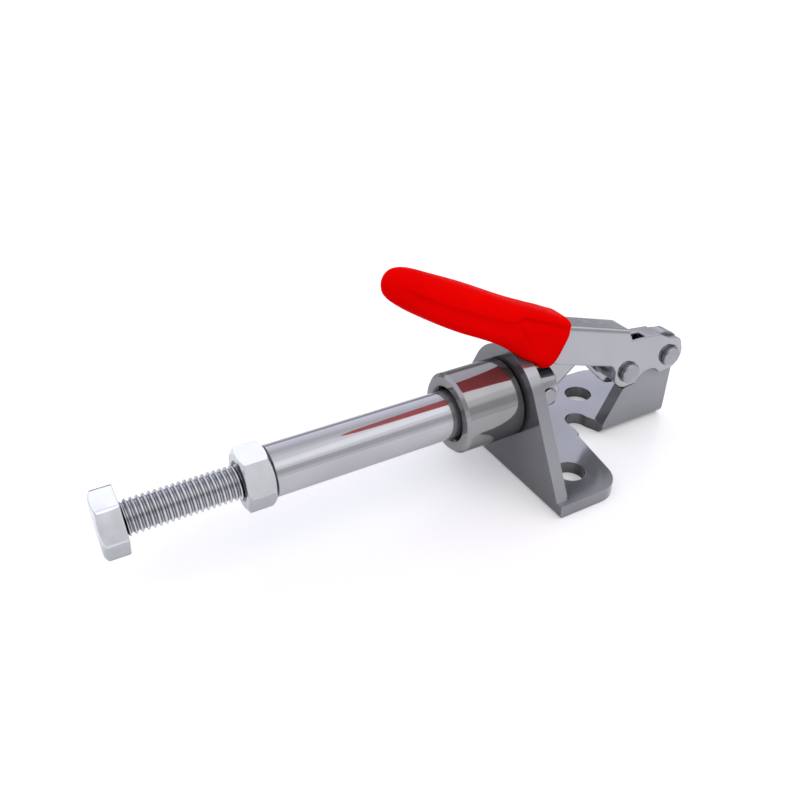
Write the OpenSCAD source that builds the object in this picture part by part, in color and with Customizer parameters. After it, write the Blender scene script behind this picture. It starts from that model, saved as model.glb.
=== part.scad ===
// Push-pull toggle clamp with a guided plunger, a stamped base and a moulded grip.
// Millimetres. The origin is midway between the two front screw holes, on the
// underside of the base. +X runs to the rear, against the push, and +Z is up.

/* [Base sheet] */
// Thickness of the base sheet
sheet_t = 3.4; // [2.5:0.1:4]
// Width across the two front feet
base_w = 52.4; // [46:0.2:60]
// Length of the base from the front face to the rear edge
base_l = 53.9; // [52:0.1:60]
// Depth of the front feet behind the front face, at their outer corners
foot_l = 18.9; // [17:0.1:19.5]
// How much deeper the feet are beside the plunger
foot_slant = 4.1; // [2:0.1:5]
// Corner radius of the front feet
foot_r = 7.3; // [3:0.1:8]
// Reach of the rear flange to the far side of the plunger
flange_y = 21.3; // [19:0.1:24]
// Corner radius of the rear flange
flange_r = 10; // [4:1:12]
// Outer radius of the fold under the front plate
front_fold_r = 0.8; // [0.4:0.1:2]
// Outer radius of the fold under the upright
fold_r = 2.6; // [1:0.1:3]
// Radius of the round top of the front plate
top_r = 13.6; // [12.5:0.1:16]
// Diameter of the screw holes
screw_d = 7.6; // [5:0.1:8.5]
// Distance of the front screw holes behind the front face
screw_back = 10.9; // [9:0.1:13]
// Distance between the front screw holes
screw_pitch = 32.2; // [28:0.2:36]
// Distance of the rear screw hole behind the front face
rear_screw_back = 36.2; // [35:0.1:42]
// Distance of the rear screw hole from the plunger's centre plane
rear_screw_y = 11.5; // [10:0.1:14]

/* [Plunger and sleeve] */
// Height of the plunger's axis above the mounting surface
axis_h = 20.5; // [19:0.1:24]
// Diameter of the plunger
plunger_d = 12; // [10:0.1:12.6]
// Outer diameter of the guide sleeve
sleeve_d = 20.2; // [18:0.1:24]
// Length of the guide sleeve in front of the plate
sleeve_l = 16.5; // [10:0.5:22]
// Diameter of the sleeve's spigot through the plate
spigot_d = 16; // [15:0.1:17]
// Reach of the plunger in front of the plate
plunger_reach = 62.7; // [55:0.1:70]
// Length of the plunger behind its cross pin
plunger_tail = 3.3; // [3:0.1:4]
// Length of the slot in front of the cross pin, where the link's eye travels
slot_front = 10.3; // [10.2:0.1:11]

/* [Spindle] */
// Thread diameter of the spindle bolt
thread_d = 8; // [6:0.5:8]
// Width across flats of the bolt head and the nut
hex_af = 13; // [11:0.5:14]
// Height of the bolt head
head_h = 5.3; // [4:0.1:7]
// Height of the lock nut
nut_h = 6.5; // [4:0.1:8]
// Length of the bolt under its head
bolt_l = 45; // [38:1:50]
// Thread that shows between the head and the nut
thread_show = 24.8; // [20:0.1:28]
// Depth of the tapped hole in the plunger
tap_depth = 40; // [38:1:44]

/* [Linkage] */
// Distance of the handle pivot behind the front face
pivot_back = 50.5; // [50:0.1:52]
// Height of the handle pivot above the mounting surface
pivot_h = 21.2; // [20.6:0.1:22]
// Distance between the handle pivot and the link pin
crank_r = 14.4; // [13.8:0.1:15]
// Distance between the link's two pins
link_l = 26.3; // [25.8:0.1:27]
// Angle by which the link pin has passed the dead centre
over_centre = 3.5; // [1:0.5:5]
// Diameter of the handle's two pins
pin_d = 5.5; // [4:0.1:6]
// Length of the pin ends outside the handle
pin_proud = 1.4; // [0.8:0.1:2.5]
// Thickness of the link
link_t = 1.8; // [1.2:0.1:2]
// Radius of the link's eye at the plunger
front_eye_r = 5.3; // [4.6:0.1:5.5]
// Radius of the link's eye at the handle
rear_eye_r = 5.8; // [5:0.1:6.4]
// Diameter of the plunger's cross pin
cross_pin_d = 4.6; // [4:0.1:5.5]
// Radius of the upright's round top
eye_r = 6.0; // [5.5:0.1:6.5]

/* [Handle] */
// Thickness of the handle sheet
handle_t = 1.6; // [1:0.1:2]
// Radius of the handle's two lobes round the pins
lobe_r = 4.5; // [4:0.1:4.8]
// Outer radius of the handle's folds
handle_fold_r = 1.4; // [0.6:0.1:1.5]
// Length of the tang inside the grip
tang_l = 38; // [30:1:42]
// Length of the grip
grip_l = 52.8; // [46:0.2:60]
// Wall that the grip leaves round the tip of the tang
grip_gap = 0.12; // [0.1:0.01:0.3]

/* [Fits] */
// Radial clearance of running pins and of the plunger
run_gap = 0.06; // [0.02:0.01:0.1]
// Radial clearance of pins that are riveted fast
fast_gap = 0.02; // [0.01:0.01:0.03]
// Clearance between the stacked plates
side_gap = 0.08; // [0.04:0.01:0.1]

/* [Hidden] */
$fn = 64;
eps = 0.01;
far = 200;

// Stations behind the front face are turned into X with this offset
front_x = -screw_back;
function back(d) = front_x + d;

// Layers of the linkage across the clamp, with the link on the plunger's centre plane
link_y0 = -link_t / 2;
link_y1 = link_t / 2;
upright_y1 = link_y0 - side_gap;
upright_y0 = upright_y1 - sheet_t;
near_y1 = upright_y0 - side_gap;
near_y0 = near_y1 - handle_t;
far_y0 = link_y1 + side_gap;
far_y1 = far_y0 + handle_t;
mid_y = (near_y0 + far_y1) / 2;
pin_y0 = near_y0 - pin_proud;
pin_y1 = far_y1 + pin_proud;

// Pin positions in the XZ plane, with the toggle just past its dead centre
pivot = [back(pivot_back), pivot_h];
dead_angle = asin((pivot_h - axis_h) / (crank_r + link_l));
crank_angle = dead_angle + over_centre;
link_joint = pivot - crank_r * [cos(crank_angle), sin(crank_angle)];
plunger_joint = [link_joint[0] - sqrt(pow(link_l, 2) - pow(link_joint[1] - axis_h, 2)), axis_h];

plunger_x0 = front_x - plunger_reach;
plunger_x1 = plunger_joint[0] + plunger_tail;
nut_x0 = plunger_x0 - nut_h;
head_x1 = nut_x0 - thread_show;
slot_x0 = plunger_joint[0] - slot_front;
collar_r = pin_d / 2 + 1.5;

// Handle lines in the XZ plane: the crease, and the slopes of its three runs
crease = pivot + [-15.4, 11.2];
neck_slope = 17.2;
grip_slope = 27;
neck_l = 24;
neck_end = crease + neck_l * [-cos(neck_slope), sin(neck_slope)];
tang_end = neck_end + tang_l * [-cos(grip_slope), sin(grip_slope)];
tail_start = pivot + [-15.1, 8.85];
tail_end = pivot + [-4.9, 7.55];
tab_y1 = upright_y1 + 0.4;
tab_gap = 0.35;

// Centre of the upright's round top, a little in front of the pivot and above it
eye = pivot + [-1.9, 0.8];

// Lower edge of the handle in front of its pins, down to the underside of the tang
tang_h = 6.0;
low_edge = [neck_end + [0.9, -10.7], neck_end + [-2.3, -9.3], neck_end + [-7.7, -3.1],
            tang_end - tang_h * [sin(grip_slope), cos(grip_slope)]];

// Grip: the centre of its mouth, and its direction towards the tip
mouth = neck_end + [-0.36, -4.31];
grip_angle = 27.7;

// Points of a corner with fillet radius r, between the points before and after it
function unit(v) = v / norm(v);
function arc_points(c, r, a0, sweep, n) = [for (i = [0:n]) c + r * [cos(a0 + sweep * i / n), sin(a0 + sweep * i / n)]];
function turn(a) = a > 180 ? a - 360 : a < -180 ? a + 360 : a;
function fillet(before, at, after, r, n = 8) =
    r <= 0 ? [at] :
    let (u = unit(before - at), v = unit(after - at), half = acos(u * v) / 2,
         c = at + unit(u + v) * r / sin(half),
         p = at + u * r / tan(half), q = at + v * r / tan(half),
         a0 = atan2(p[1] - c[1], p[0] - c[0]), a1 = atan2(q[1] - c[1], q[0] - c[0]))
    arc_points(c, r, a0, turn(a1 - a0), n);
function flat(p) = [p[0], p[1]];
function rounded(p) = let (n = len(p))
    [for (i = [0:n - 1]) each fillet(flat(p[(i + n - 1) % n]), flat(p[i]), flat(p[(i + 1) % n]), p[i][2])];

// Point where a line from the point q meets the circle of radius r round c, just inside its tangent point
function touch(q, c, r, side) = let (v = q - c, s = r - 0.03, a = atan2(v[1], v[0]) + side * acos(s / norm(v)))
    c + s * [cos(a), sin(a)];

// Plate standing in the XZ plane between two Y values
module upright_plate(y0, y1) {
    translate([0, y1, 0]) rotate([90, 0, 0]) linear_extrude(y1 - y0) children();
}

// Round bar along Y at a point of the XZ plane
module bar_y(p, r, y0, y1) {
    translate([p[0], y1, p[1]]) rotate([90, 0, 0]) cylinder(r = r, h = y1 - y0);
}

// Turned part on the plunger's axis, drawn as radius over X
module turned_x(points) {
    translate([0, 0, axis_h]) rotate([0, 90, 0]) rotate_extrude() polygon([for (p = points) [p[1], p[0]]]);
}

// Waste outside a fold of radius r whose corner lies on the X axis
module fold_waste(r, l) {
    rotate([90, 0, 90]) linear_extrude(l) difference() {
        translate([-eps, -eps]) square(r + eps);
        translate([r, r]) circle(r);
    }
}

module front_plate_outline() {
    half = base_w / 2;
    a = acos(top_r / norm([half, axis_h])) - atan2(axis_h, half);
    side = [top_r * cos(a), axis_h + top_r * sin(a)];
    polygon([[-half, 0], [half, 0], side, [0, axis_h], [-side[0], side[1]]]);
    translate([0, axis_h]) circle(top_r);
}

module floor_outline() {
    half = base_w / 2;
    beside = upright_y0 + 1;
    inner = back(foot_l + foot_slant);
    polygon(rounded([[front_x, -half, 0], [back(foot_l), -half, foot_r], [inner, beside, 0],
                     [inner, -beside, 0], [back(foot_l), half, foot_r], [front_x, half, 0]]));
    polygon(rounded([[back(foot_l), upright_y0, 0], [back(base_l), upright_y0, 0],
                     [back(base_l), flange_y, flange_r], [back(foot_l), flange_y, 0]]));
}

// Relief between the foot and the upright, with a round end under the link
module relief_outline() {
    x0 = foot_l + foot_slant + 0.9;
    x1 = upright_foot_back;
    r = 3.3;
    translate([back(x0 + r), 1.1]) circle(r);
    polygon([[back(x0), 1.1], [back(x0 + 2 * r), 1.1], [back(x1), upright_y1 - 1], [back(x1), upright_y0 - 3],
             [back(x0 - 1.0), upright_y0 - 3], [back(x0), upright_y0 + 2]]);
}

upright_foot_back = 31.8;
module upright_outline() {
    polygon(rounded([[back(upright_foot_back), 0, 0], [back(upright_foot_back), sheet_t, 0.6],
                     [back(upright_foot_back + 5.5), sheet_t + 10.3, 1.5],
                     [back(pivot_back) - 8.8, axis_h - plunger_d / 2 - 0.4, 2],
                     [eye[0] - eye_r * cos(20), eye[1] + eye_r * sin(20), 0], [eye[0], eye[1], 0],
                     [eye[0] + eye_r * cos(20), eye[1] - eye_r * sin(20), 0], [back(base_l), 0, 2.2]]));
    translate(eye) circle(eye_r);
}

module base_frame() {
    inner = 0.5;
    drill = sheet_t + 2;
    color([0.52, 0.53, 0.56]) difference() {
        union() {
            translate([front_x, 0, 0]) rotate([90, 0, 90]) linear_extrude(sheet_t) front_plate_outline();
            linear_extrude(sheet_t) difference() {
                floor_outline();
                relief_outline();
            }
            upright_plate(upright_y0, upright_y1) upright_outline();
            translate([back(sheet_t) - eps, -base_w / 2 + 1.5, sheet_t - eps]) difference() {
                cube([inner, base_w - 3, inner]);
                translate([inner, -1, inner]) rotate([-90, 0, 0]) cylinder(r = inner, h = base_w);
            }
        }
        translate([front_x, base_w / 2 + 1, 0]) rotate([0, 0, -90]) fold_waste(front_fold_r, base_w + 2);
        translate([back(foot_l), upright_y0, 0]) fold_waste(fold_r, base_l);
        for (side = [-1, 1]) translate([0, side * screw_pitch / 2, -1]) cylinder(d = screw_d, h = drill);
        translate([back(rear_screw_back), rear_screw_y, -1]) cylinder(d = screw_d, h = drill);
        translate([front_x - 1, 0, axis_h]) rotate([0, 90, 0]) cylinder(d = spigot_d + 2 * fast_gap, h = drill);
        bar_y(pivot, pin_d / 2 + fast_gap, upright_y0 - 1, upright_y1 + 1);
    }
}

module guide_sleeve() {
    bore = plunger_d / 2 + run_gap;
    r = sleeve_d / 2;
    x0 = front_x - sleeve_l;
    spigot_end = back(sheet_t) + 0.5;
    color([0.62, 0.62, 0.64]) turned_x([[x0, bore + 1.1], [x0, r - 0.8], [x0 + 0.8, r], [front_x - 0.8, r],
        [front_x, r - 0.8], [front_x, spigot_d / 2], [spigot_end, spigot_d / 2], [spigot_end, bore],
        [x0 + 1.1, bore]]);
}

module plunger_rod() {
    r = plunger_d / 2;
    tap = thread_d / 2;
    edge = 0.5;
    color([0.75, 0.76, 0.78]) difference() {
        turned_x([[plunger_x0, 0], [plunger_x0, r - edge], [plunger_x0 + edge, r], [plunger_x1 - edge, r],
            [plunger_x1, r - edge], [plunger_x1, 0]]);
        turned_x([[plunger_x0 - 1, 0], [plunger_x0 - 1, tap + 1.6], [plunger_x0 + 0.6, tap],
            [plunger_x0 + tap_depth, tap], [plunger_x0 + tap_depth + tap / 2, 0]]);
        translate([slot_x0, link_y0 - side_gap, axis_h - plunger_d])
            cube([far, link_t + 2 * side_gap, 2 * plunger_d]);
        bar_y(plunger_joint, cross_pin_d / 2 + fast_gap, -plunger_d, plunger_d);
    }
}

// Rivet with a small edge on both ends
module rivet(p, d, y0, y1) {
    r = d / 2;
    edge = 0.3;
    translate([p[0], y1, p[1]]) rotate([90, 0, 0]) rotate_extrude()
        polygon([[0, 0], [r - edge, 0], [r, edge], [r, y1 - y0 - edge], [r - edge, y1 - y0], [0, y1 - y0]]);
}

// The stretch inside the link's eye is left open, so that the link can leave it
module plunger_pin() {
    proud = 0.5;
    color([0.7, 0.7, 0.72]) difference() {
        rivet(plunger_joint, cross_pin_d, -plunger_d / 2 - proud, plunger_d / 2 + proud);
        translate([plunger_joint[0] - cross_pin_d, link_y0 - side_gap, axis_h - cross_pin_d])
            cube([2 * cross_pin_d, link_t + 2 * side_gap, 2 * cross_pin_d]);
    }
}

// Hexagon along X with turned corners at the ends that are named
module hexagon(x0, x1, front, rear) {
    r = hex_af / sqrt(3);
    flat_r = hex_af / 2;
    drop = (r - flat_r) * tan(30);
    intersection() {
        translate([x0, 0, axis_h]) rotate([0, 90, 0]) rotate([0, 0, 30]) cylinder(r = r, h = x1 - x0, $fn = 6);
        turned_x([[x0, 0], [x0, front ? flat_r - 0.2 : r], [x0 + (front ? drop : 0) + 0.1, r + eps],
            [x1 - (rear ? drop : 0) - 0.1, r + eps], [x1, rear ? flat_r - 0.2 : r], [x1, 0]]);
    }
}

module lock_nut() {
    bore = thread_d / 2;
    color([0.8, 0.82, 0.87]) difference() {
        hexagon(nut_x0, plunger_x0, true, true);
        turned_x([[nut_x0 - 1, 0], [nut_x0 - 1, bore + 1.7], [nut_x0 + 0.7, bore], [plunger_x0 - 0.7, bore],
            [plunger_x0 + 1, bore + 1.7], [plunger_x0 + 1, 0]]);
    }
}

module spindle_bolt() {
    r = thread_d / 2 - run_gap;
    edge = 0.9;
    tip = head_x1 + bolt_l;
    color([0.8, 0.82, 0.87]) {
        hexagon(head_x1 - head_h, head_x1, true, false);
        turned_x([[head_x1 - 1, 0], [head_x1 - 1, r], [tip - edge, r], [tip, r - edge], [tip, 0]]);
    }
}

// Bowed link: two eyes joined by an arch that clears the pivot when the clamp is open
module link_plate() {
    p = plunger_joint;
    q = link_joint;
    inner = (p + q) / 2 + [0.6, 4.2];
    outer = (p + q) / 2 + [0.4, 12.8];
    color([0.6, 0.61, 0.64]) difference() {
        upright_plate(link_y0, link_y1) {
            translate(p) circle(front_eye_r);
            translate(q) circle(rear_eye_r);
            polygon(concat([touch(outer, p, front_eye_r, 1), touch(inner, p, front_eye_r, -1)],
                fillet(p, inner, q, 1.5), [touch(inner, q, rear_eye_r, 1), touch(outer, q, rear_eye_r, -1)],
                fillet(q, outer, p, 5)));
        }
        bar_y(p, cross_pin_d / 2 + run_gap, link_y0 - 1, link_y1 + 1);
        bar_y(q, pin_d / 2 + run_gap, link_y0 - 1, link_y1 + 1);
    }
}

module link_pin() {
    color([0.7, 0.7, 0.72]) rivet(link_joint, pin_d, pin_y0, pin_y1);
}

module pivot_pin() {
    color([0.7, 0.7, 0.72]) rivet(pivot, pin_d, pin_y0, pin_y1);
}

// Spacer tube on a pin, between two plates
module spacer(p, y0, y1) {
    difference() {
        bar_y(p, collar_r, y0, y1);
        bar_y(p, pin_d / 2 + fast_gap, y0 - 1, y1 + 1);
    }
}

// Fills the upright's layer on the link pin
module link_spacer() {
    color([0.66, 0.66, 0.68]) spacer(link_joint, near_y1, link_y0 - side_gap);
}

// Fills the link's layer on the pivot
module pivot_spacer() {
    color([0.66, 0.66, 0.68]) spacer(pivot, upright_y1, far_y0 - side_gap);
}

// Lower part of a side plate: its front edge, its two lobes and the gap between them
function lobes_edge() = [[pivot[0] + lobe_r, pivot[1], 0], [pivot[0], pivot[1] - lobe_r, 0],
    [link_joint[0], link_joint[1] - lobe_r, 0], [link_joint[0] - lobe_r, link_joint[1], 0],
    [link_joint[0] - lobe_r + 0.1, link_joint[1] + 2.9, 3.5], [low_edge[0][0], low_edge[0][1], 3],
    [low_edge[1][0], low_edge[1][1], 1], [low_edge[2][0], low_edge[2][1], 3], [low_edge[3][0], low_edge[3][1], 2]];

module side_outline(rear_top) {
    drop = handle_fold_r;
    difference() {
        union() {
            polygon(rounded(concat([[tang_end[0], tang_end[1], 1], [neck_end[0], neck_end[1], 0],
                [neck_end[0], neck_end[1] - drop, 0], [crease[0], crease[1] - drop, 0]], rear_top, lobes_edge())));
            translate(pivot) circle(lobe_r);
            translate(link_joint) circle(lobe_r);
        }
        translate((pivot + link_joint) / 2 + [0.5, -lobe_r - 2.3]) circle(4.9);
    }
}

// Folded section of the handle: a web with two short legs and round folds
module fold_section() {
    w = far_y1 - near_y0;
    r = handle_fold_r;
    leg = 2.4 * r;
    difference() {
        union() {
            translate([0, -leg]) square([w, leg - r]);
            translate([r, -leg]) square([w - 2 * r, leg]);
            for (x = [r, w - r]) translate([x, -r]) circle(r);
        }
        translate([handle_t, -leg - 1]) square([w - 2 * handle_t, leg + 1 - handle_t]);
    }
}

// Visible stretch of the web, from the crease to just inside the square web of the tang
module folded_web() {
    translate([crease[0], near_y0, crease[1]]) rotate([0, neck_slope, 0]) rotate([90, 0, -90])
        mirror([1, 0, 0]) linear_extrude(neck_l + 0.3) fold_section();
}

// Square web between the plates from a to b, its top just inside their upper edges
module square_web(a, b, y1) {
    down = unit([b[1] - a[1], a[0] - b[0]]);
    inset = 0.02;
    upright_plate(near_y0, y1)
        polygon([a + inset * down, a + handle_t * down, b + handle_t * down, b + inset * down]);
}

// Window in the tab, whose near wall leans in over the upright
module tail_window() {
    window_l = 4.9;
    window_y1 = near_y0 + 3;
    z = tail_start[1] - 0.3;
    top = z + 3;
    translate([tail_start[0] + 0.3, 0, 0]) rotate([90, 0, 90]) linear_extrude(window_l)
        polygon([[near_y0 - 1, z + 1], [near_y0, z], [near_y1, z - 2.2], [window_y1, z - 2.6], [window_y1, top],
                 [near_y0 - 1, top]]);
}

module handle_channel() {
    near_top = [[tail_start[0], tail_start[1], 0], [tail_end[0], tail_end[1], 0],
                [pivot[0] - 1.4, pivot[1] + lobe_r + 1.2, 2], [pivot[0] + 3.2, pivot[1] + lobe_r + 0.2, 3]];
    far_top = [[tail_start[0] + 1, tail_start[1] - 0.6, 1], [link_joint[0] + 4, pivot[1] + lobe_r + 1.6, 3],
               [pivot[0], pivot[1] + lobe_r, 0]];
    color([0.72, 0.73, 0.75]) difference() {
        union() {
            upright_plate(near_y0, near_y1) side_outline(near_top);
            upright_plate(far_y0, far_y1) side_outline(far_top);
            folded_web();
            square_web(tang_end, neck_end, far_y1);
            square_web(tail_start, tail_end, tab_y1);
        }
        tail_window();
        bar_y(eye, eye_r + tab_gap, near_y1, tab_y1 + 1);
        bar_y(pivot, pin_d / 2 + run_gap, pin_y0, pin_y1);
        bar_y(link_joint, pin_d / 2 + fast_gap, pin_y0, pin_y1);
    }
}

// Grip stations: place along the grip as a share of its length, top and bottom edge
// above and below its line, and half the width
grip_stations = [[0, 5.9, -7.9, 5.4], [0.06, 6.2, -7.6, 6.3], [0.13, 6.2, -7.2, 6.2], [0.2, 5.9, -6.2, 6.1],
                 [0.36, 5.5, -4.9, 6.2], [0.6, 5.45, -4.8, 6.2], [0.78, 5.1, -4.0, 5.9], [0.9, 4.7, -3.2, 5.0],
                 [0.965, 3.8, -2.0, 3.2], [1, 2.2, -0.2, 1.4]];
grip_rings = 26;
grip_sides = 32;
function mix(a, b, t) = a + (b - a) * t;
function station(s, i = 0) = s <= grip_stations[i + 1][0] || i == len(grip_stations) - 2
    ? let (a = grip_stations[i], b = grip_stations[i + 1]) mix(a, b, (s - a[0]) / (b[0] - a[0]))
    : station(s, i + 1);
function rounded_power(a, k) = sign(a) * pow(abs(a), k);
function grip_ring(s) = let (g = station(s), c = (g[1] + g[2]) / 2, h = (g[1] - g[2]) / 2, k = 0.72)
    [for (i = [0:grip_sides - 1]) let (a = 360 * i / grip_sides,
        v = c + h * rounded_power(sin(a), k), w = g[3] * rounded_power(cos(a), k))
        [mouth[0] - s * grip_l * cos(grip_angle) + v * sin(grip_angle), mid_y + w,
         mouth[1] + s * grip_l * sin(grip_angle) + v * cos(grip_angle)]];

module grip_body() {
    // Rings crowd together towards the round tip
    rings = [for (i = [0:grip_rings]) grip_ring(sin(90 * i / grip_rings))];
    n = grip_sides;
    points = [for (ring = rings) each ring];
    walls = [for (j = [0:grip_rings - 1]) for (i = [0:n - 1]) let (k = (i + 1) % n)
        [j * n + i, j * n + k, (j + 1) * n + k, (j + 1) * n + i]];
    ends = [[for (i = [n - 1:-1:0]) i], [for (i = [0:n - 1]) grip_rings * n + i]];
    polyhedron(points = points, faces = concat(walls, ends), convexity = 4);
}

// Room for the tang: the handle's own envelope with a small gap all round
module tang_room() {
    g = grip_gap;
    above = [0, 1.2 * g];
    upright_plate(near_y0 - g, far_y1 + g) polygon([tang_end + g * [-2, 1], neck_end + above, crease + above,
        crease + [0, -20], low_edge[0] - above, low_edge[1] + [-g, -g], low_edge[2] + [-g, -g],
        low_edge[3] + g * [-2, -1]]);
}

module grip() {
    color([0.85, 0.02, 0.02]) difference() {
        grip_body();
        tang_room();
        translate([front_x - 0.7, 0, axis_h]) rotate([0, 90, 0]) cylinder(r = top_r + 0.4, h = sheet_t + 1.4);
    }
}

base_frame();
guide_sleeve();
plunger_rod();
plunger_pin();
lock_nut();
spindle_bolt();
link_plate();
link_pin();
link_spacer();
pivot_pin();
pivot_spacer();
handle_channel();
grip();
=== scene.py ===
import math

import bmesh
import bpy
from mathutils import Matrix, Vector


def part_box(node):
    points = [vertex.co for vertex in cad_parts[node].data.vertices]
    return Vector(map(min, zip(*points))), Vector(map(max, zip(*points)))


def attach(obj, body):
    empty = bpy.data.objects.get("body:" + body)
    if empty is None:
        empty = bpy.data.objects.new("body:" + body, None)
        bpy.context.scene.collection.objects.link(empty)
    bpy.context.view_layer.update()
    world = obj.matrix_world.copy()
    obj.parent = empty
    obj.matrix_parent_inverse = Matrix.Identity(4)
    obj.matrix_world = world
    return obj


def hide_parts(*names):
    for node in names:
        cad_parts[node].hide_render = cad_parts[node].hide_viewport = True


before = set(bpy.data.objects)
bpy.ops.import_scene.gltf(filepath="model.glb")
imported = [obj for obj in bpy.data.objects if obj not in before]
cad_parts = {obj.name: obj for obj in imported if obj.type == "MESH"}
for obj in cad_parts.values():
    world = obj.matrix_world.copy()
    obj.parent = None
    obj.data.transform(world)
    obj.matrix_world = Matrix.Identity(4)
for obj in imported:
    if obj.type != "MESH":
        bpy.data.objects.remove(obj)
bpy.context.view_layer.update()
MM = 0.001


# Shader nodes
def nodes_of(owner):
    """The shader nodes and the links of a material or a world."""
    owner.use_nodes = True
    return owner.node_tree.nodes, owner.node_tree.links


def ramp(nodes, links, source, stops):
    """Colour ramp over source. Each stop is a position and a colour."""
    node = nodes.new("ShaderNodeValToRGB")
    elements = node.color_ramp.elements
    for element, (position, colour) in zip(elements, (stops[0], stops[-1])):
        element.position = position
        element.color = (*colour, 1)
    for position, colour in stops[1:-1]:
        elements.new(position).color = (*colour, 1)
    links.new(source, node.inputs["Fac"])
    return node.outputs["Color"]


def grey_ramp(nodes, links, source, stops):
    """Ramp over source without colour. Each stop is a position and a brightness."""
    return ramp(nodes, links, source, [(position, (value,) * 3) for position, value in stops])


def map_range(nodes, links, source, low, high, to_low=0.0, to_high=1.0):
    """Source, with the range from low to high brought to the range from to_low to to_high."""
    node = nodes.new("ShaderNodeMapRange")
    ends = {"From Min": low, "From Max": high, "To Min": to_low, "To Max": to_high}
    for name, value in ends.items():
        node.inputs[name].default_value = value
    links.new(source, node.inputs["Value"])
    return node.outputs["Result"]


def noise(nodes, links, coords, scale, detail, stretch=None):
    """Noise over coords. A stretch below 1 draws its grain out along that axis."""
    if stretch:
        mapping = nodes.new("ShaderNodeMapping")
        mapping.inputs["Scale"].default_value = stretch
        links.new(coords, mapping.inputs["Vector"])
        coords = mapping.outputs["Vector"]
    node = nodes.new("ShaderNodeTexNoise")
    node.inputs["Scale"].default_value = scale
    node.inputs["Detail"].default_value = detail
    links.new(coords, node.inputs["Vector"])
    return node.outputs["Fac"]


def blend(nodes, links, kind, first, second, factor=None):
    """Two colours blended, in full or by a factor."""
    mix = nodes.new("ShaderNodeMix")
    mix.data_type = "RGBA"
    mix.blend_type = kind
    mix.inputs["Factor"].default_value = 1.0
    if factor is not None:
        links.new(factor, mix.inputs["Factor"])
    links.new(first, mix.inputs["A"])
    links.new(second, mix.inputs["B"])
    return mix.outputs["Result"]


def calculate(nodes, links, operation, first, second):
    """Math on a socket and either another socket or a number."""
    node = nodes.new("ShaderNodeMath")
    node.operation = operation
    links.new(first, node.inputs[0])
    if isinstance(second, float):
        node.inputs[1].default_value = second
    else:
        links.new(second, node.inputs[1])
    return node.outputs[0]


# How a surface is made up
CROWDING_SAMPLES = 8
BEVEL_SAMPLES = 6
CLOUD_DETAIL = 2.0
GRAIN_DETAIL = 4.0
GRAIN_HEIGHT = 0.05 * MM
NOISE_LOW = 0.3
NOISE_HIGH = 0.7
# Painted light: a face counts as level from here on, by its normal's height, and is kept bright
LEVEL_FROM = 0.5
LEVEL_FULL = 0.95
# Painted shade: a face counts as a front face up to here, by its normal's X from 0 ahead to 1 behind, and
# is darkened
FRONT_FULL = 0.02
FRONT_UNTIL = 0.1


def painted_occlusion_shade(nodes, links, reach, stops):
    """Painted shade: grey that gets darker where other surfaces or the ground crowd within reach, as in a
    hole.
    """
    ao = nodes.new("ShaderNodeAmbientOcclusion")
    ao.samples = CROWDING_SAMPLES
    ao.inputs["Distance"].default_value = reach * MM
    return grey_ramp(nodes, links, ao.outputs["AO"], stops)


def painted_shade_by_direction(nodes, links, shade, front, level):
    """Painted light and shade by direction: the shade, at least as bright as level on level faces, and
    times front on faces that look forward.
    """
    normal = nodes.new("ShaderNodeSeparateXYZ")
    links.new(nodes.new("ShaderNodeNewGeometry").outputs["Normal"], normal.inputs[0])
    # Painted light: level faces are kept bright whatever crowds them
    painted_level_light = grey_ramp(nodes, links, normal.outputs["Z"], [(LEVEL_FROM, 0.0), (LEVEL_FULL, level)])
    shade = blend(nodes, links, "LIGHTEN", shade, painted_level_light)
    backward = map_range(nodes, links, normal.outputs["X"], -1, 1)
    # Painted shade on faces that look forward
    face = grey_ramp(nodes, links, backward, [(FRONT_FULL, front), (FRONT_UNTIL, 1.0)])
    return blend(nodes, links, "MULTIPLY", shade, face)


def fine_normal(nodes, links, height, strength, edge):
    """Normal with a fine grain, and with edges that shine as if rounded by edge."""
    bump = nodes.new("ShaderNodeBump")
    bump.inputs["Strength"].default_value = strength
    bump.inputs["Distance"].default_value = GRAIN_HEIGHT
    links.new(height, bump.inputs["Height"])
    if edge:
        bevel = nodes.new("ShaderNodeBevel")
        bevel.samples = BEVEL_SAMPLES
        bevel.inputs["Radius"].default_value = edge * MM
        links.new(bevel.outputs["Normal"], bump.inputs["Normal"])
    return bump.outputs["Normal"]


def surface(name, dark, light, rough, metallic, grain, cloud, bump, edge, occlusion_shade, faces=None,
            specular=0.5, rim=1.0):
    """Metal or plastic whose colour drifts in soft clouds and carries painted shade where surfaces crowd,
    and by direction if faces are given; its gloss and bump follow a fine grain.
    """
    look = bpy.data.materials.new(name)
    nodes, links = nodes_of(look)
    bsdf = nodes["Principled BSDF"].inputs
    coords = nodes.new("ShaderNodeTexCoord").outputs["Object"]
    clouds = noise(nodes, links, coords, cloud, CLOUD_DETAIL)
    fine = noise(nodes, links, coords, grain[0], GRAIN_DETAIL, grain[1])
    colour = ramp(nodes, links, clouds, [(NOISE_LOW, dark), (NOISE_HIGH, light)])
    # Painted shade where other surfaces or the ground crowd
    shade = painted_occlusion_shade(nodes, links, *occlusion_shade)
    if faces:
        shade = painted_shade_by_direction(nodes, links, shade, *faces)
    links.new(blend(nodes, links, "MULTIPLY", colour, shade), bsdf["Base Color"])
    links.new(map_range(nodes, links, fine, NOISE_LOW, NOISE_HIGH, *rough), bsdf["Roughness"])
    links.new(fine_normal(nodes, links, fine, bump, edge), bsdf["Normal"])
    bsdf["Metallic"].default_value = metallic
    bsdf["Specular IOR Level"].default_value = specular
    bsdf["Specular Tint"].default_value = (rim, rim, rim, 1)
    return look


# Materials

# A grain is the scale of its noise and the stretch of its coordinates
SHEET = (500.0, None)
TURNED = (1500.0, (6.0, 0.5, 0.5))
MOULDED = (1400.0, None)
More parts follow.
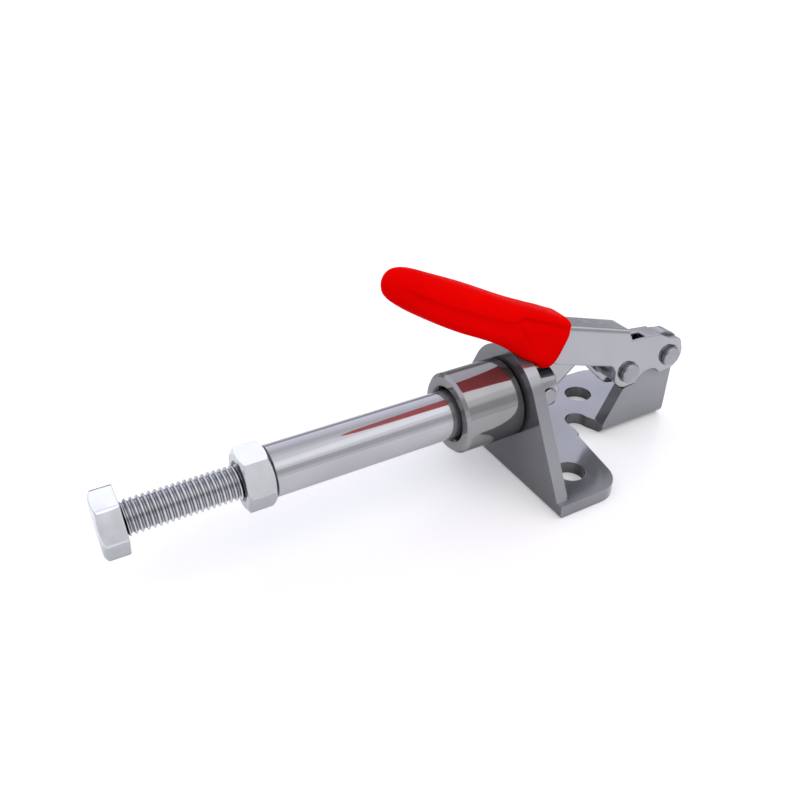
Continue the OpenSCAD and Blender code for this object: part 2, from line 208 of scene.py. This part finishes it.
# Painted shade, as stops from crowded to open: the share of open surroundings and the brightness painted
# there
GAP_SHADE = [(0.15, 0.25), (0.85, 1.0)]
GROUND_SHADE = [(0.1, 0.22), (0.4, 0.64), (0.62, 0.74), (0.85, 1.0)]
HEXAGON_SHADE = [(0.15, 0.06), (0.5, 0.42), (0.78, 0.52), (0.9, 0.72), (0.985, 1.0)]
FOLD_SHADE = [(0.1, 0.35), (0.6, 1.0)]
CREASE_SHADE = [(0.6, 0.35), (0.97, 1.0)]
THREAD_ROOT_SHADE = [(0.35, 0.1), (0.85, 1.0)]


def base_steel():
    """Plated sheet, with painted shade towards the ground, kept off level faces, and on the face of the
    front plate.
    """
    return surface("base_steel_look", dark=(0.32, 0.325, 0.35), light=(0.37, 0.375, 0.4),
                   rough=(0.1, 0.17), metallic=0.68, grain=SHEET, cloud=60.0, bump=0.02, edge=0.2,
                   occlusion_shade=(36, GROUND_SHADE), faces=(0.6, 0.95))


def sleeve_steel():
    """Turned and polished tube, with painted shade where surfaces crowd."""
    return surface("sleeve_steel_look", dark=(0.28, 0.275, 0.28), light=(0.33, 0.325, 0.33),
                   rough=(0.05, 0.1), metallic=0.85, grain=TURNED, cloud=70.0, bump=0.02, edge=0.2,
                   occlusion_shade=(6, GAP_SHADE), rim=0.35)


def plunger_steel():
    """Ground and polished bar, brighter than the sleeve, with painted shade where surfaces crowd."""
    return surface("plunger_steel_look", dark=(0.43, 0.43, 0.455), light=(0.48, 0.48, 0.505),
                   rough=(0.04, 0.09), metallic=0.8, grain=TURNED, cloud=70.0, bump=0.015, edge=0.2,
                   occlusion_shade=(14, GAP_SHADE), rim=0.75)


def zinc_hardware():
    """Bright zinc of the bolt's head and the nut, with painted shade on the flats that look to the ground.
    """
    return surface("zinc_hardware_look", dark=(0.84, 0.86, 0.9), light=(0.9, 0.92, 0.96),
                   rough=(0.18, 0.26), metallic=1.0, grain=SHEET, cloud=120.0, bump=0.02, edge=0.2,
                   occlusion_shade=(40, HEXAGON_SHADE))


def thread_steel():
    """Bright thread with painted shade in its roots."""
    return surface("thread_look", dark=(0.52, 0.53, 0.56), light=(0.6, 0.61, 0.64),
                   rough=(0.12, 0.2), metallic=1.0, grain=SHEET, cloud=120.0, bump=0.02, edge=0.0,
                   occlusion_shade=(1.2, THREAD_ROOT_SHADE))


def rivet_steel():
    """Dull rivets, spacers and cross pin, with painted shade where surfaces crowd."""
    return surface("rivet_steel_look", dark=(0.31, 0.31, 0.33), light=(0.38, 0.38, 0.4),
                   rough=(0.16, 0.26), metallic=1.0, grain=SHEET, cloud=120.0, bump=0.03, edge=0.15,
                   occlusion_shade=(4, GAP_SHADE))


def handle_steel():
    """Plated sheet of the handle and the link, with rounded sheared edges and painted shade in its folds.
    """
    return surface("handle_steel_look", dark=(0.38, 0.385, 0.4), light=(0.42, 0.425, 0.44),
                   rough=(0.08, 0.15), metallic=1.0, grain=SHEET, cloud=80.0, bump=0.02, edge=0.8,
                   occlusion_shade=(7, FOLD_SHADE))


def red_grip():
    """Red plastic with moulded creases darkened by painted shade, and hardly any sheen."""
    return surface("red_grip_look", dark=(0.74, 0.0006, 0.0005), light=(0.83, 0.001, 0.0008),
                   rough=(0.3, 0.38), metallic=0.0, grain=MOULDED, cloud=60.0, bump=0.02, edge=0.0,
                   occlusion_shade=(1.5, CREASE_SHADE), specular=0.001)


MATERIALS = {
    "base_steel": base_steel(), "sleeve_steel": sleeve_steel(), "plunger_steel": plunger_steel(),
    "zinc_hardware": zinc_hardware(), "rivet_steel": rivet_steel(), "handle_steel": handle_steel(),
    "red_grip": red_grip(),
}
THREAD_LOOK = thread_steel()
SLOT_OF_NODE = {
    "base_frame": "base_steel", "guide_sleeve": "sleeve_steel", "plunger_rod": "plunger_steel",
    "plunger_pin": "rivet_steel", "lock_nut": "zinc_hardware", "spindle_bolt": "zinc_hardware",
    "link_plate": "handle_steel", "link_pin": "rivet_steel", "link_spacer": "rivet_steel",
    "pivot_pin": "rivet_steel", "pivot_spacer": "rivet_steel", "handle_channel": "handle_steel",
    "grip": "red_grip",
}


def give_look(obj, look):
    """Puts a material in every slot of an object, or adds the first slot."""
    if obj.material_slots:
        for slot in obj.material_slots:
            slot.material = look
    else:
        obj.data.materials.append(look)


for name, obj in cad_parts.items():
    give_look(obj, MATERIALS[SLOT_OF_NODE[name]])


# Mesh tools
MERGE_DISTANCE = 1e-7


def new_object(name, verts, faces, look, smooth=True):
    """Object from points and faces, with doubled points merged and all faces looking out."""
    mesh = bpy.data.meshes.new(name)
    mesh.from_pydata([tuple(v) for v in verts], [], faces)
    mesh.validate()
    bm = bmesh.new()
    bm.from_mesh(mesh)
    bmesh.ops.remove_doubles(bm, verts=bm.verts, dist=MERGE_DISTANCE)
    bmesh.ops.recalc_face_normals(bm, faces=bm.faces)
    bm.to_mesh(mesh)
    bm.free()
    mesh.materials.append(look)
    for polygon in mesh.polygons:
        polygon.use_smooth = smooth
    obj = bpy.data.objects.new(name, mesh)
    bpy.context.scene.collection.objects.link(obj)
    return obj


def round_angles(sides):
    """Angles all the way round a section."""
    return [2 * math.pi * i / sides for i in range(sides)]


def loft(rings, close_end=True):
    """Points and faces of a skin over rings of as many points each. The start is closed."""
    n = len(rings[0])
    verts = [point for ring in rings for point in ring]
    faces = []
    for j in range(len(rings) - 1):
        for i in range(n):
            k = (i + 1) % n
            faces.append((j * n + i, j * n + k, (j + 1) * n + k, (j + 1) * n + i))
    faces.append(tuple(range(n - 1, -1, -1)))
    if close_end:
        faces.append(tuple((len(rings) - 1) * n + i for i in range(n)))
    return verts, faces


# Spindle bolt with its thread, in millimetres
low_corner, high_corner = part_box("spindle_bolt")
HEAD_X0 = low_corner.x / MM
TIP_X = high_corner.x / MM
AXIS_H = (low_corner.z + high_corner.z) / 2 / MM
HEX_AF = (high_corner.z - low_corner.z) / MM
HEAD_H = 5.3
HEAD_REAR = HEAD_X0 + HEAD_H
# Flat face of the head, and the chamfer that cuts its corners from just inside the flats
FACE_MIDDLE_SHARE = 0.5
FACE_MARGIN = 0.35
CHAMFER_ANGLE = math.radians(30)
CHAMFER_MARGIN = 0.2
# Softened edges of the head, along the axis and across it
FRONT_SOFT_START = 0.02
FRONT_SOFT_END = 0.25
FRONT_SOFT_IN = 0.12
REAR_SOFT = 0.2
SHANK_MARGIN = 0.35
# Thread: its section, and how it starts in the head and runs out at the tip
THREAD_D = 7.96
THREAD_DEPTH = 0.68
PITCH = 1.25
CREST = THREAD_D / 2
ROOT = CREST - THREAD_DEPTH
FLANK_BULGE = 0.1
ROOT_FILLET = 0.04
THREAD_IN_HEAD = 0.05
RUN_IN = 0.6
RUN_OUT = 0.9
SPARE_TURNS = 3
# The thread's own material starts this far behind the head, and reaches this far past the crest
LOOK_BEHIND_HEAD = 0.1
LOOK_PAST_CREST = 0.12
SPINDLE_ANGLES = round_angles(96)
SPINDLE_SIDES = len(SPINDLE_ANGLES)


def around(x, r, a):
    """Point at x, off the axis by r in the direction a."""
    return Vector((x, r * math.cos(a), AXIS_H + r * math.sin(a))) * MM


def hex_radius(a, af):
    """Distance from the axis to a hexagon with flats on top and bottom, in the direction a."""
    side = math.radians(60)
    return af / 2 / math.cos(a % side - side / 2)


def even(value):
    """The same value for every angle."""
    return [value] * SPINDLE_SIDES


def spindle_ring(places, radii):
    """Ring round the axis, with a place along it and a radius for every angle."""
    return [around(x, r, a) for x, r, a in zip(places, radii, SPINDLE_ANGLES)]


def spindle_head():
    """Hexagon head: round face, chamfered corners, softened rear edge, and its back down to the shank."""
    flat = HEX_AF / 2
    hexagon = [hex_radius(a, HEX_AF) for a in SPINDLE_ANGLES]
    slope = math.tan(CHAMFER_ANGLE)
    cut = [max(0.0, (h - flat + CHAMFER_MARGIN) * slope) for h in hexagon]
    return loft([
        spindle_ring(even(HEAD_X0), even(flat * FACE_MIDDLE_SHARE)),
        spindle_ring(even(HEAD_X0), even(flat - FACE_MARGIN)),
        spindle_ring([HEAD_X0 + c + FRONT_SOFT_START for c in cut], [h - FRONT_SOFT_IN for h in hexagon]),
        spindle_ring([HEAD_X0 + FRONT_SOFT_END + c for c in cut], hexagon),
        spindle_ring(even(HEAD_REAR - REAR_SOFT), hexagon),
        spindle_ring(even(HEAD_REAR), [h - REAR_SOFT for h in hexagon]),
        spindle_ring(even(HEAD_REAR), even(CREST - SHANK_MARGIN)),
    ], close_end=False)


def thread_profile():
    """One turn of the thread, from its crest to its root and back: share of the pitch, and radius."""
    flank = (CREST + ROOT) / 2 + FLANK_BULGE
    fillet = ROOT + ROOT_FILLET
    return [(0.0, CREST), (0.06, CREST), (0.20, flank), (0.36, fillet), (0.44, ROOT), (0.56, ROOT),
            (0.64, fillet), (0.80, flank), (0.94, CREST)]


def thread_rows(profile):
    """Rows of a helix. Each goes once round the axis and one pitch along, and fades out at both ends."""
    start = HEAD_REAR - THREAD_IN_HEAD
    turns = int((TIP_X - start) / PITCH) + SPARE_TURNS
    rows = []
    for j in range(-len(profile), turns * len(profile)):
        share, radius = profile[j % len(profile)]
        row = []
        for i, angle in enumerate(SPINDLE_ANGLES):
            x = start + (j // len(profile) + share + i / SPINDLE_SIDES) * PITCH
            fade = min(1.0, max(0.0, (x - start) / RUN_IN), max(0.0, (TIP_X - x) / RUN_OUT))
            row.append(around(min(max(x, start), TIP_X), ROOT + (radius - ROOT) * fade, angle))
        rows.append(row)
    return rows


def thread_faces(count, step, first):
    """Faces between count rows. A row's end meets the start of the row that is step rows, one turn, on."""
    def corner(row, i):
        return first + row * SPINDLE_SIDES + i

    last = SPINDLE_SIDES - 1
    faces = []
    for j in range(count - 1):
        for i in range(last):
            faces.append((corner(j, i), corner(j, i + 1), corner(j + 1, i + 1), corner(j + 1, i)))
        k = j + step
        if k + 1 < count:
            faces.append((corner(j, last), corner(k, 0), corner(k + 1, 0), corner(j + 1, last)))
    return faces


def spindle():
    """Hexagon head and a helical thread that fades to a chamfered tip, in one skin."""
    verts, faces = spindle_head()
    profile = thread_profile()
    rows = thread_rows(profile)
    faces += thread_faces(len(rows), len(profile), len(verts))
    verts += [point for row in rows for point in row]
    tip = len(verts)
    last_row = tip - SPINDLE_SIDES
    verts.append(around(TIP_X, 0, 0))
    faces += [(last_row + i, last_row + i + 1, tip) for i in range(SPINDLE_SIDES - 1)]
    return verts, faces


def dress_thread(obj):
    """Gives the faces behind the head and close to the axis the object's second material."""
    behind_head = (HEAD_REAR + LOOK_BEHIND_HEAD) * MM
    thread_reach = (CREST + LOOK_PAST_CREST) * MM
    for face in obj.data.polygons:
        off_axis = math.hypot(face.center.y, face.center.z - AXIS_H * MM)
        if face.center.x > behind_head and off_axis < thread_reach:
            face.material_index = 1


verts, faces = spindle()
bolt = new_object("spindle_threaded", verts, faces, MATERIALS["zinc_hardware"])
bolt.data.materials.append(THREAD_LOOK)
dress_thread(bolt)
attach(bolt, "spindle")
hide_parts("spindle_bolt")


# Grip, in millimetres: its axis rises forward from the mouth
GRIP_L = 52.3
GRIP_ANGLE = math.radians(27.7)
MOUTH = Vector((0.914, 0, 35.187))
MID_Y = -1.74
RIM_R = 1.1
GRIP_RINGS = 170
GRIP_ANGLES = round_angles(144)
# Keeps the creases from pinching the tip through itself
LEAST_RADIUS = 0.5
# Share of the length, then top, bottom and half width, and the power that makes the section boxy below 1
STATIONS = [
    (0, 6.2, -6.4, 6.1, 0.5), (0.025, 6.1, -7.3, 6.2, 0.5), (0.06, 5.98, -7.53, 6.3, 0.5),
    (0.13, 5.91, -7.04, 6.2, 0.52), (0.2, 5.75, -6.15, 6.1, 0.6), (0.36, 5.45, -5.0, 6.2, 0.68),
    (0.6, 5.47, -4.8, 6.2, 0.74), (0.78, 5.17, -4.09, 5.93, 0.84), (0.9, 4.87, -3.24, 5.0, 0.92),
    (0.965, 4.0, -2.15, 3.2, 1.0), (0.99, 2.6, -0.6, 1.6, 1.0), (1, 1.2, 0.8, 0.3, 1.0),
]
# Share of the length and the turn of the side line there: 90 degrees is the top, 180 either side
SIDE_LINE = [
    (0, 143), (0.13, 147.5), (0.3, 151), (0.335, 166), (0.37, 175), (0.5, 178), (0.75, 180), (0.9, 177),
    (1, 170),
]
# Side line: sharp above and soft below, in radians, shallow at the mouth and gone before the tip
LINE_DEPTH = 0.5
LINE_ABOVE = 0.07
LINE_BELOW = 0.34
LINE_START_DEPTH = 0.3
LINE_START_RISE = 0.03
LINE_END = 0.97
LINE_FADE = 0.1
# Line round the end of the mouth block, by shares of the length and by degrees of turn
BLOCK_DEPTH = 0.42
BLOCK_WIDTH = 0.015
BLOCK_END = 0.325
BLOCK_LEAN = 0.1
BLOCK_LEAN_FROM = 172
BLOCK_LEAN_OVER = 16
BLOCK_TURN = 168
BLOCK_TURN_WIDTH = 20


def smooth_table(rows, s):
    """Values of a table at share s, on a smooth curve through its rows."""
    k = max(i for i in range(len(rows) - 1) if rows[i][0] <= s)
    a, b = rows[k], rows[k + 1]
    before, after = rows[max(k - 1, 0)], rows[min(k + 2, len(rows) - 1)]
    span = b[0] - a[0]
    t = (s - a[0]) / span
    t2, t3 = t * t, t * t * t
    values = []
    for c in range(1, len(a)):
        slope_a = (b[c] - before[c]) / (b[0] - before[0]) * span
        slope_b = (after[c] - a[c]) / (after[0] - a[0]) * span
        from_a = (2 * t3 - 3 * t2 + 1) * a[c] + (t3 - 2 * t2 + t) * slope_a
        values.append(from_a + (-2 * t3 + 3 * t2) * b[c] + (t3 - t2) * slope_b)
    return values


def line_turn(s):
    """Where the side line runs round the section: high on the mouth block, lower along the grip."""
    stretches = zip(SIDE_LINE, SIDE_LINE[1:])
    (s0, turn0), (s1, turn1) = next(stretch for stretch in stretches if s <= stretch[1][0])
    return math.radians(turn0 + (turn1 - turn0) * (s - s0) / (s1 - s0))


def crease(s, a):
    """Depth of the moulding lines: along both sides, and round the end of the mouth block."""
    turn = math.pi - math.asin(math.sin(a))
    past = turn - line_turn(s)
    width = LINE_BELOW if past > 0 else LINE_ABOVE
    fade = min(1.0, max(0.0, (LINE_END - s) / LINE_FADE)) * min(1.0, LINE_START_DEPTH + s / LINE_START_RISE)
    along = LINE_DEPTH * math.exp(-(past / width) ** 2) * fade
    degrees = math.degrees(turn)
    end = BLOCK_END - BLOCK_LEAN * max(0.0, (degrees - BLOCK_LEAN_FROM) / BLOCK_LEAN_OVER)
    reach = math.exp(-((degrees - BLOCK_TURN) / BLOCK_TURN_WIDTH) ** 2)
    block = BLOCK_DEPTH * math.exp(-((s - end) / BLOCK_WIDTH) ** 2) * reach
    return max(along, block)


def rim_rounding(x):
    """How far the section draws in at x, so that the rim of the mouth is round."""
    return RIM_R - math.sqrt(RIM_R ** 2 - (RIM_R - x) ** 2) if x < RIM_R else 0.0


def power_of(value, power):
    """Power of a value's size, with the value's sign."""
    return math.copysign(abs(value) ** power, value)


def grip_ring(s):
    """Section at share s of the length: boxy at the mouth, round at the tip, and pinched by the creases."""
    along = Vector((-math.cos(GRIP_ANGLE), 0, math.sin(GRIP_ANGLE)))
    up = Vector((math.sin(GRIP_ANGLE), 0, math.cos(GRIP_ANGLE)))
    top, low, half, power = smooth_table(STATIONS, s)
    x = s * GRIP_L
    middle = (top + low) / 2
    half_height = (top - low) / 2 - rim_rounding(x)
    half_width = half - rim_rounding(x)
    ring = []
    for a in GRIP_ANGLES:
        v = half_height * power_of(math.sin(a), power)
        w = half_width * power_of(math.cos(a), power)
        shrink = 1 - crease(s, a) / max(math.hypot(v, w), LEAST_RADIUS)
        point = MOUTH + along * x + up * (middle + v * shrink)
        ring.append(Vector((point.x, MID_Y + w * shrink, point.z)) * MM)
    return ring


def grip():
    """Skin over rings that crowd towards the tip."""
    shares = [math.sin(math.pi / 2 * j / GRIP_RINGS) for j in range(GRIP_RINGS + 1)]
    return loft([grip_ring(s) for s in shares])


verts, faces = grip()
grip_obj = new_object("grip_moulded", verts, faces, MATERIALS["red_grip"])
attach(grip_obj, "handle")
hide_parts("grip")


# Floor
FLOOR_HALF = 3
FLOOR_Z = -0.1 * MM
FLOOR_GLOW = 0.2


def floor_look():
    """White floor that glows for the camera, gloss and glass, so that they see a white background."""
    look = bpy.data.materials.new("floor_look")
    nodes, links = nodes_of(look)
    bsdf = nodes["Principled BSDF"].inputs
    bsdf["Base Color"].default_value = (0.9, 0.9, 0.9, 1)
    bsdf["Roughness"].default_value = 0.3
    bsdf["Emission Color"].default_value = (1, 1, 1, 1)
    rays = nodes.new("ShaderNodeLightPath").outputs
    seen = calculate(nodes, links, "MAXIMUM", rays["Is Camera Ray"], rays["Is Glossy Ray"])
    seen = calculate(nodes, links, "MAXIMUM", seen, rays["Is Transmission Ray"])
    links.new(calculate(nodes, links, "MULTIPLY", seen, FLOOR_GLOW), bsdf["Emission Strength"])
    return look


corners = [(x * FLOOR_HALF, y * FLOOR_HALF, FLOOR_Z) for x, y in ((-1, -1), (1, -1), (1, 1), (-1, 1))]
floor = new_object("floor", corners, [(0, 1, 2, 3)], floor_look(), smooth=False)


# Studio light

# Elevation in degrees, brightness and share of tint, on the camera's side and on the far side
NEAR_SKY = [
    (-90, 0.9, 0.02), (9, 0.9, 0.02), (14, 0.62, 0.02), (28, 0.64, 0.02), (34, 1.2, 0.03),
    (52, 1.42, 0.03), (90, 1.2, 0.03),
]
FAR_SKY = [
    (-90, 0.55, 0.04), (14, 0.48, 0.07), (19, 1.5, 0.13), (34, 1.3, 0.13), (46, 1.12, 0.12),
    (62, 0.75, 0.06), (90, 1.1, 0.03),
]
SIDES_MEET = 0.12


def sky_ramp(nodes, links, height, rows):
    """Colour of the sky over the height of a direction. A tint takes red and green away."""
    stops = []
    for elevation, value, tint in rows:
        position = (math.sin(math.radians(elevation)) + 1) / 2
        stops.append((position, (value * (1 - tint), value * (1 - tint), value)))
    return ramp(nodes, links, height, stops)


def studio_world():
    """Soft light from all round: one sky on the camera's side, another one on the far side."""
    world = bpy.data.worlds.new("studio")
    nodes, links = nodes_of(world)
    nodes.clear()
    direction = nodes.new("ShaderNodeSeparateXYZ")
    links.new(nodes.new("ShaderNodeTexCoord").outputs["Generated"], direction.inputs[0])
    height = map_range(nodes, links, direction.outputs["Z"], -1, 1)
    near_side = sky_ramp(nodes, links, height, NEAR_SKY)
    far_side = sky_ramp(nodes, links, height, FAR_SKY)
    side = map_range(nodes, links, direction.outputs["Y"], -SIDES_MEET, SIDES_MEET)
    background = nodes.new("ShaderNodeBackground")
    background.inputs["Strength"].default_value = 1.0
    links.new(blend(nodes, links, "MIX", near_side, far_side, side), background.inputs["Color"])
    links.new(background.outputs[0], nodes.new("ShaderNodeOutputWorld").inputs["Surface"])
    return world


def lamp(name, place, target, size, power):
    """Soft box at place that looks at target."""
    light = bpy.data.lights.new(name, "AREA")
    light.shape = "RECTANGLE"
    light.size, light.size_y = size
    light.energy = power
    obj = bpy.data.objects.new(name, light)
    bpy.context.scene.collection.objects.link(obj)
    obj.location = place
    obj.rotation_euler = (Vector(target) - Vector(place)).to_track_quat("-Z", "Y").to_euler()


bpy.context.scene.world = studio_world()
lamp("key", place=(0.3, -0.36, 0.72), target=(-0.02, 0, 0.03), size=(0.9, 0.3), power=0.25)


# Camera at the photo's angle
AZIMUTH = math.radians(-28.79)
ELEVATION = math.radians(33.07)
ROLL = math.radians(-0.33)
CAMERA_PLACE = (-0.1136, -0.1334, 0.1278)


def camera_axes():
    """Right, up and back of the camera as the columns of a matrix."""
    back = Vector((math.sin(AZIMUTH) * math.cos(ELEVATION), -math.cos(AZIMUTH) * math.cos(ELEVATION),
                   math.sin(ELEVATION)))
    right = Vector((math.cos(AZIMUTH), math.sin(AZIMUTH), 0))
    up = back.cross(right)
    turned_right = right * math.cos(ROLL) + up * math.sin(ROLL)
    turned_up = up * math.cos(ROLL) - right * math.sin(ROLL)
    return Matrix((turned_right, turned_up, back)).transposed()


def photo_camera():
    """Camera whose lens and place give the photo's frame."""
    lens = bpy.data.cameras.new("camera")
    lens.sensor_width = 36
    lens.lens = 35.48
    lens.clip_start = 0.01
    lens.clip_end = 20
    camera = bpy.data.objects.new("camera", lens)
    bpy.context.scene.collection.objects.link(camera)
    camera.matrix_world = Matrix.Translation(CAMERA_PLACE) @ camera_axes().to_4x4()
    return camera


bpy.context.scene.camera = photo_camera()
bpy.context.scene.view_settings.view_transform = "Standard"

bpy.context.view_layer.update()
